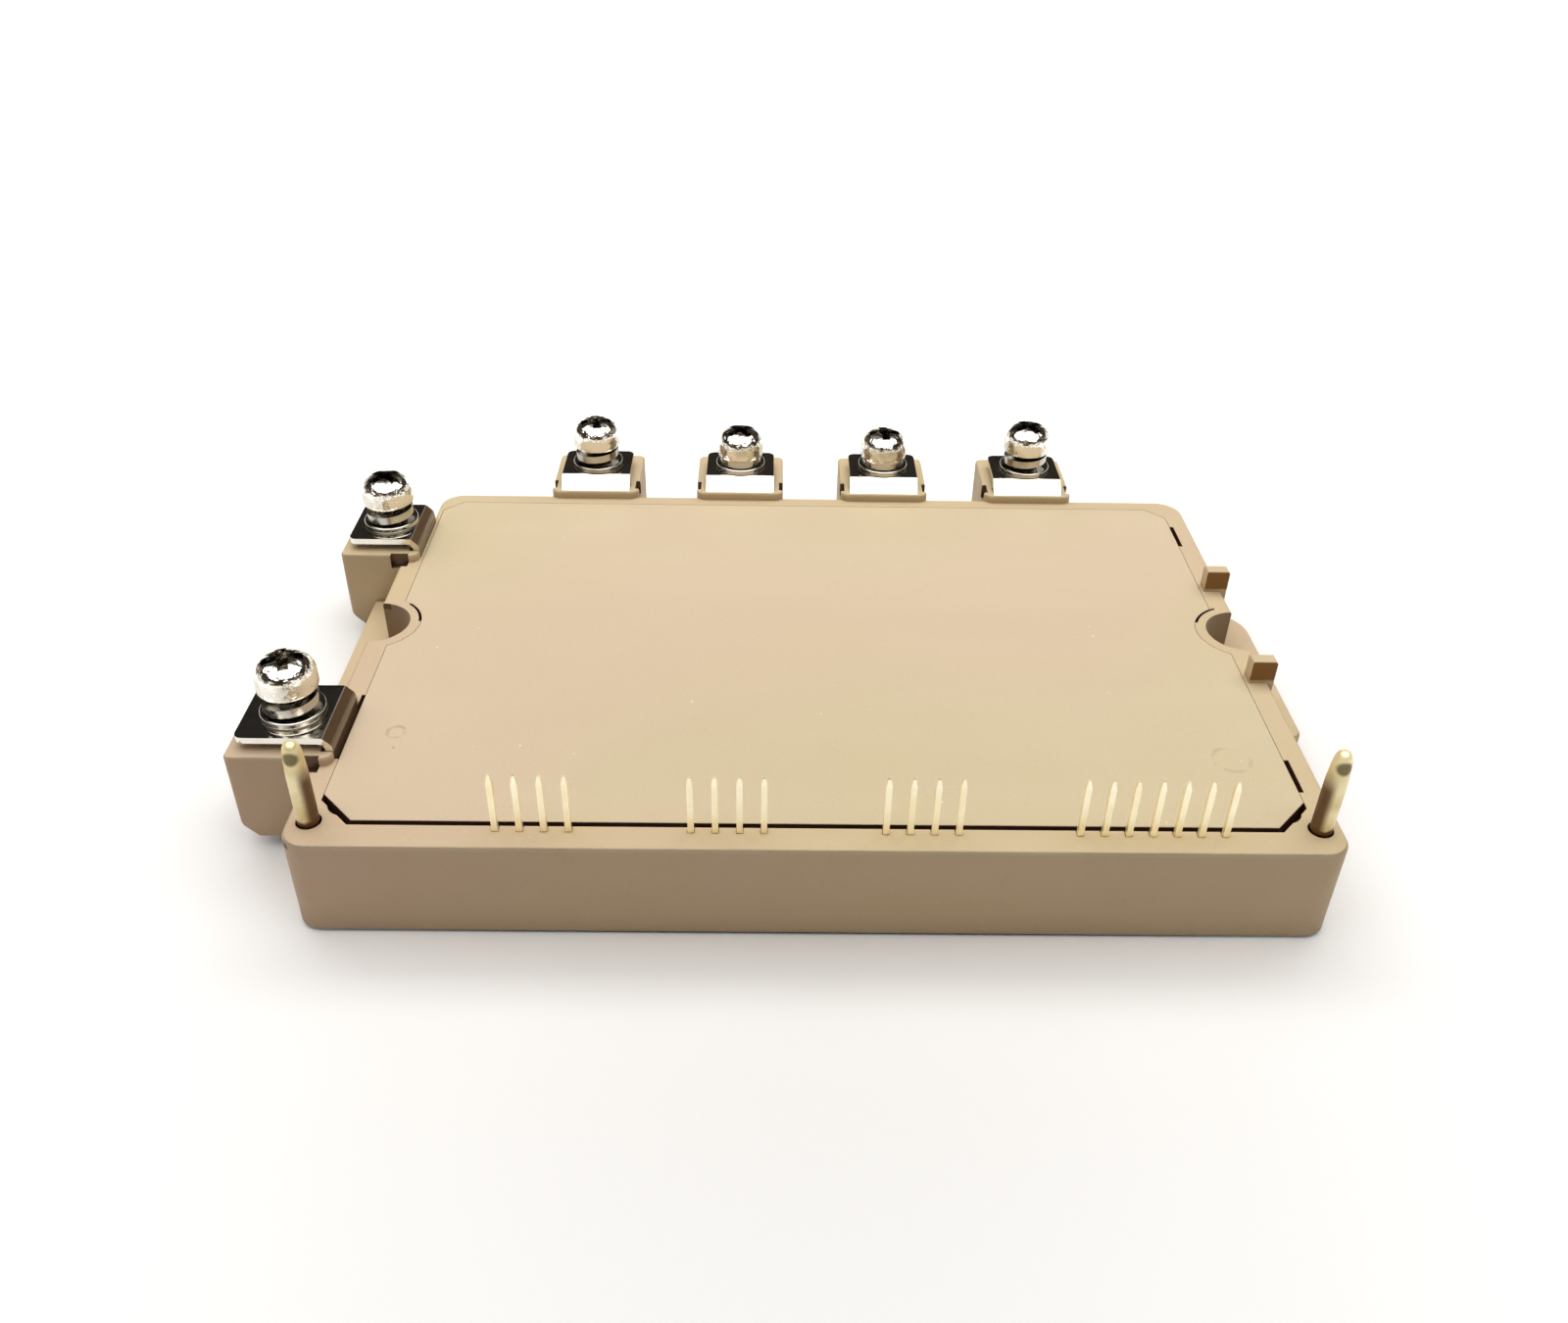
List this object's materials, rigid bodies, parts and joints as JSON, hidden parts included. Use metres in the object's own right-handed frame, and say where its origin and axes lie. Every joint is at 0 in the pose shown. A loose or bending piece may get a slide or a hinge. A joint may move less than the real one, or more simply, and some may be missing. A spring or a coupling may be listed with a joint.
{
  "type": "igbt power module",
  "caption": "Seven-pack power transistor module in a moulded case with screw terminals and pins.",
  "frame": {"origin": "centre of the body on the base plate's underside, which lies on the heat sink", "axes": "+X along the long side towards the end with no terminals, +Y from the control pins to the row of screw terminals, +Z away from the heat sink"},
  "size_m": [0.1254, 0.0884, 0.0226],
  "materials": {
    "case_plastic": "matte moulded",
    "lid_plastic": "matte moulded",
    "plated_copper": "satin nickel plating on copper",
    "board_laminate": "solder mask",
    "gel": "soft clear gel",
    "nut_steel": "plated",
    "screw_steel": "bright plated",
    "guide_brass": "polished",
    "strap_nickel": "bright plated",
    "pin_gold": "gold plated",
    "copper": "bare copper",
    "tile_ceramic": "fired white",
    "wire_aluminium": "bright",
    "silicon": "metallised",
    "driver_plastic": "moulded black"
  },
  "bodies": {
    "root": {"baseplate": "plated_copper", "bond_wires_left": "wire_aluminium", "bond_wires_right": "wire_aluminium", "case_frame": "case_plastic", "ceramic_tile_left": "tile_ceramic", "ceramic_tile_right": "tile_ceramic", "circuit_copper_left": "copper", "circuit_copper_right": "copper", "control_board": "board_laminate", "control_pins_lower_side": "pin_gold", "control_pins_phase_u": "pin_gold", "control_pins_phase_v": "pin_gold", "control_pins_phase_w": "pin_gold", "diode_chip_1": "silicon", "diode_chip_2": "silicon", "diode_chip_3": "silicon", "diode_chip_4": "silicon", "diode_chip_5": "silicon", "diode_chip_6": "silicon", "diode_chip_7": "silicon", "driver_chip_1": "driver_plastic", "driver_chip_2": "driver_plastic", "driver_chip_3": "driver_plastic", "driver_chip_4": "driver_plastic", "flat_washers": "screw_steel", "guide_pin_left": "guide_brass", "guide_pin_right": "guide_brass", "igbt_chip_1": "silicon", "igbt_chip_2": "silicon", "igbt_chip_3": "silicon", "igbt_chip_4": "silicon", "igbt_chip_5": "silicon", "igbt_chip_6": "silicon", "igbt_chip_7": "silicon", "lid": "lid_plastic", "silicone_gel": "gel", "spring_washers": "screw_steel", "strap_brake": "strap_nickel", "strap_negative": "strap_nickel", "strap_phase_u": "strap_nickel", "strap_phase_v": "strap_nickel", "strap_phase_w": "strap_nickel", "strap_positive": "strap_nickel", "terminal_nuts": "nut_steel", "terminal_screws": "screw_steel", "tile_solder_copper_left": "copper", "tile_solder_copper_right": "copper"}
  },
  "joints": []
}
